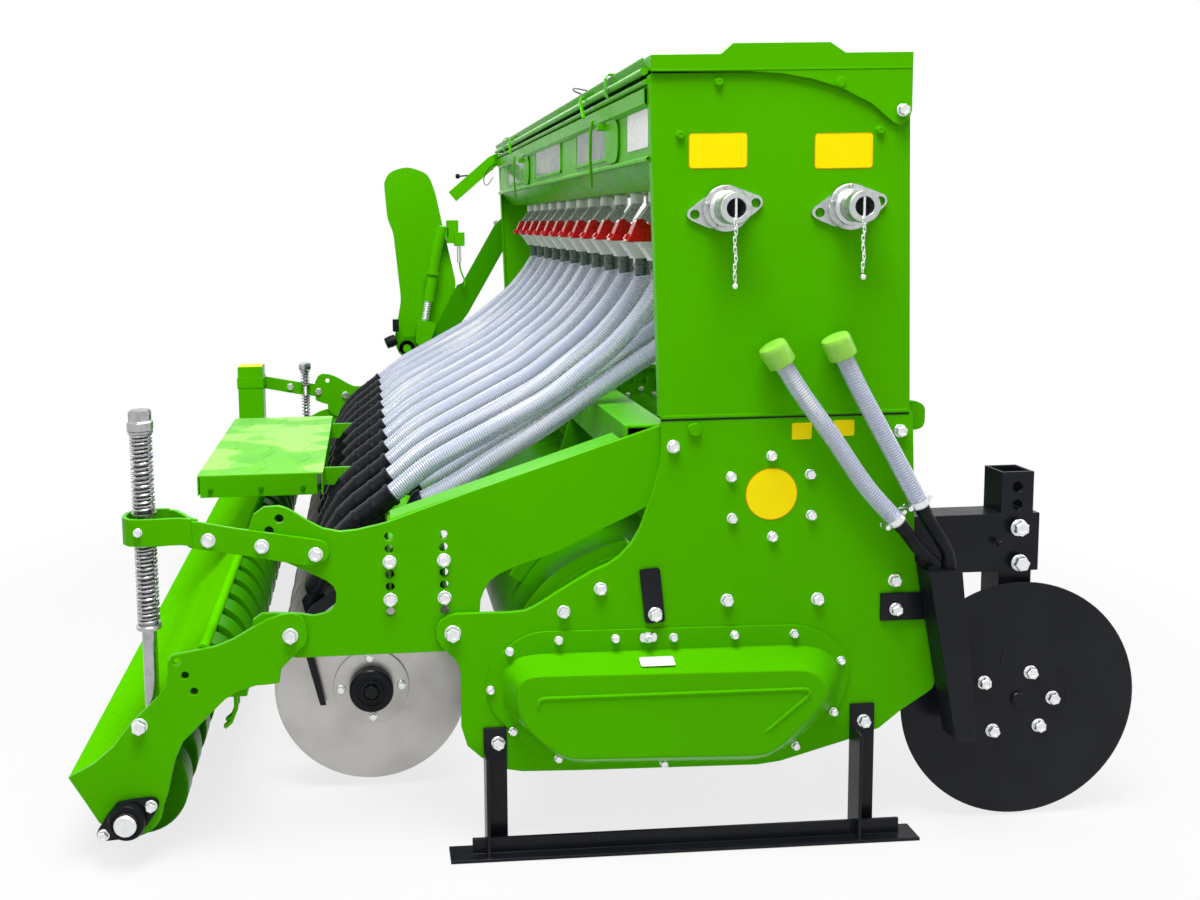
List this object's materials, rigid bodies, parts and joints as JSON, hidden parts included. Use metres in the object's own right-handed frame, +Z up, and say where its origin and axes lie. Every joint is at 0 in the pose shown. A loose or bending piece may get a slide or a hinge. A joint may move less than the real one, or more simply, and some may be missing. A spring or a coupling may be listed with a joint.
{
  "type": "super seeder",
  "caption": "Tractor-mounted super seeder: rotary tiller with a full-width seed and fertilizer box, a row of disc openers with seed hoses, and a rear press roller.",
  "frame": {"origin": "floor level under the machine, on its centre plane, half way between its rearmost and foremost points", "axes": "+X forward towards the tractor, +Y to the machine's left, +Z up"},
  "size_m": [1.974, 2.3059, 1.434],
  "materials": {
    "green_paint": "glossy bright green enamel",
    "dark_green_paint": "glossy mid green enamel",
    "black_paint": "glossy black enamel",
    "steel": "bright zinc-plated and worked steel",
    "clear_hose": "clear ribbed PVC hose",
    "black_rubber": "black rubber",
    "dark_cuff": "dark green moulded plastic",
    "white_plastic": "white moulded plastic",
    "red_plastic": "red moulded plastic",
    "light_green_plastic": "light green moulded plastic",
    "window_plastic": "clear acrylic"
  },
  "bodies": {
    "frame": {"side_plates": "green_paint", "cross_beams": "green_paint", "rotor_hood": "dark_green_paint", "gearbox": "green_paint", "drive_tube": "green_paint", "drive_covers": "green_paint", "hitch": "green_paint", "stands": "black_paint", "arm_plates": "green_paint", "opener_beam": "green_paint", "shanks": "black_paint", "seed_spouts": "black_paint", "scrapers": "black_paint", "boot_tubes": "black_rubber", "seed_hoses": "clear_hose", "hose_cuffs": "dark_cuff", "outlet_funnels": "white_plastic", "outlet_shutters": "red_plastic", "outlet_necks": "steel", "box_ends": "green_paint", "hopper": "green_paint", "hopper_divider": "green_paint", "sight_windows": "window_plastic", "shaft_flanges": "steel", "hose_elbows": "light_green_plastic", "side_boots": "black_paint", "side_disc_mounts": "black_paint", "roller_arms": "green_paint", "roller_bearings": "black_paint", "roller_guard": "green_paint", "foot_board": "green_paint", "links": "green_paint", "tension_rods": "steel", "wheel_bracket": "dark_green_paint"},
    "lid_body": {"lid": "green_paint"},
    "rotor_body": {"rotor": "dark_green_paint"},
    "roller_body": {"roller": "dark_green_paint"},
    "side_disc_right_body": {"side_disc_right": "black_paint"},
    "side_disc_left_body": {"side_disc_left": "black_paint"},
    "wheel_arm_body": {"wheel_arm": "green_paint"},
    "pto_body": {"pto_shaft": "steel"},
    "disc_1_body": {"disc_1": "steel"},
    "disc_2_body": {"disc_2": "steel"},
    "disc_3_body": {"disc_3": "steel"},
    "disc_4_body": {"disc_4": "steel"},
    "disc_5_body": {"disc_5": "steel"},
    "disc_6_body": {"disc_6": "steel"},
    "disc_7_body": {"disc_7": "steel"},
    "disc_8_body": {"disc_8": "steel"},
    "disc_9_body": {"disc_9": "steel"},
    "disc_10_body": {"disc_10": "steel"},
    "disc_11_body": {"disc_11": "steel"},
    "disc_12_body": {"disc_12": "steel"}
  },
  "joints": [
    {"name": "lid_hinge", "type": "hinge", "parent": "frame", "child": "lid_body", "pos_m": [0.5, 0, 1.316], "axis": [0, 1, 0], "range_deg": [0, 95]},
    {"name": "rotor_spin", "type": "hinge", "parent": "frame", "child": "rotor_body", "pos_m": [0.055, 0, 0.3], "axis": [0, 1, 0], "continuous": true},
    {"name": "roller_spin", "type": "hinge", "parent": "frame", "child": "roller_body", "pos_m": [-0.884, 0, 0.09], "axis": [0, 1, 0], "continuous": true},
    {"name": "side_disc_right_spin", "type": "hinge", "parent": "frame", "child": "side_disc_right_body", "pos_m": [0.763, -1.069, 0.229], "axis": [0, 1, 0], "continuous": true},
    {"name": "side_disc_left_spin", "type": "hinge", "parent": "frame", "child": "side_disc_left_body", "pos_m": [0.763, 1.069, 0.229], "axis": [0, 1, 0], "continuous": true},
    {"name": "wheel_arm_hinge", "type": "hinge", "parent": "frame", "child": "wheel_arm_body", "pos_m": [-0.292, 1.105, 0.672], "axis": [0, 1, 0], "range_deg": [-110, 0]},
    {"name": "pto_spin", "type": "hinge", "parent": "frame", "child": "pto_body", "pos_m": [0.5, 0, 0.639], "axis": [1, 0, 0], "continuous": true},
    {"name": "disc_1_spin", "type": "hinge", "parent": "frame", "child": "disc_1_body", "pos_m": [-0.446, -0.847, 0.211], "axis": [0, 1, 0], "continuous": true},
    {"name": "disc_2_spin", "type": "hinge", "parent": "frame", "child": "disc_2_body", "pos_m": [-0.446, -0.697, 0.211], "axis": [0, 1, 0], "continuous": true},
    {"name": "disc_3_spin", "type": "hinge", "parent": "frame", "child": "disc_3_body", "pos_m": [-0.446, -0.547, 0.211], "axis": [0, 1, 0], "continuous": true},
    {"name": "disc_4_spin", "type": "hinge", "parent": "frame", "child": "disc_4_body", "pos_m": [-0.446, -0.397, 0.211], "axis": [0, 1, 0], "continuous": true},
    {"name": "disc_5_spin", "type": "hinge", "parent": "frame", "child": "disc_5_body", "pos_m": [-0.446, -0.247, 0.211], "axis": [0, 1, 0], "continuous": true},
    {"name": "disc_6_spin", "type": "hinge", "parent": "frame", "child": "disc_6_body", "pos_m": [-0.446, -0.097, 0.211], "axis": [0, 1, 0], "continuous": true},
    {"name": "disc_7_spin", "type": "hinge", "parent": "frame", "child": "disc_7_body", "pos_m": [-0.446, 0.053, 0.211], "axis": [0, 1, 0], "continuous": true},
    {"name": "disc_8_spin", "type": "hinge", "parent": "frame", "child": "disc_8_body", "pos_m": [-0.446, 0.203, 0.211], "axis": [0, 1, 0], "continuous": true},
    {"name": "disc_9_spin", "type": "hinge", "parent": "frame", "child": "disc_9_body", "pos_m": [-0.446, 0.353, 0.211], "axis": [0, 1, 0], "continuous": true},
    {"name": "disc_10_spin", "type": "hinge", "parent": "frame", "child": "disc_10_body", "pos_m": [-0.446, 0.503, 0.211], "axis": [0, 1, 0], "continuous": true},
    {"name": "disc_11_spin", "type": "hinge", "parent": "frame", "child": "disc_11_body", "pos_m": [-0.446, 0.653, 0.211], "axis": [0, 1, 0], "continuous": true},
    {"name": "disc_12_spin", "type": "hinge", "parent": "frame", "child": "disc_12_body", "pos_m": [-0.446, 0.803, 0.211], "axis": [0, 1, 0], "continuous": true}
  ],
  "couplings": [
    {"joint": "pto_spin", "follows": "rotor_spin", "ratio": 2.4}
  ]
}
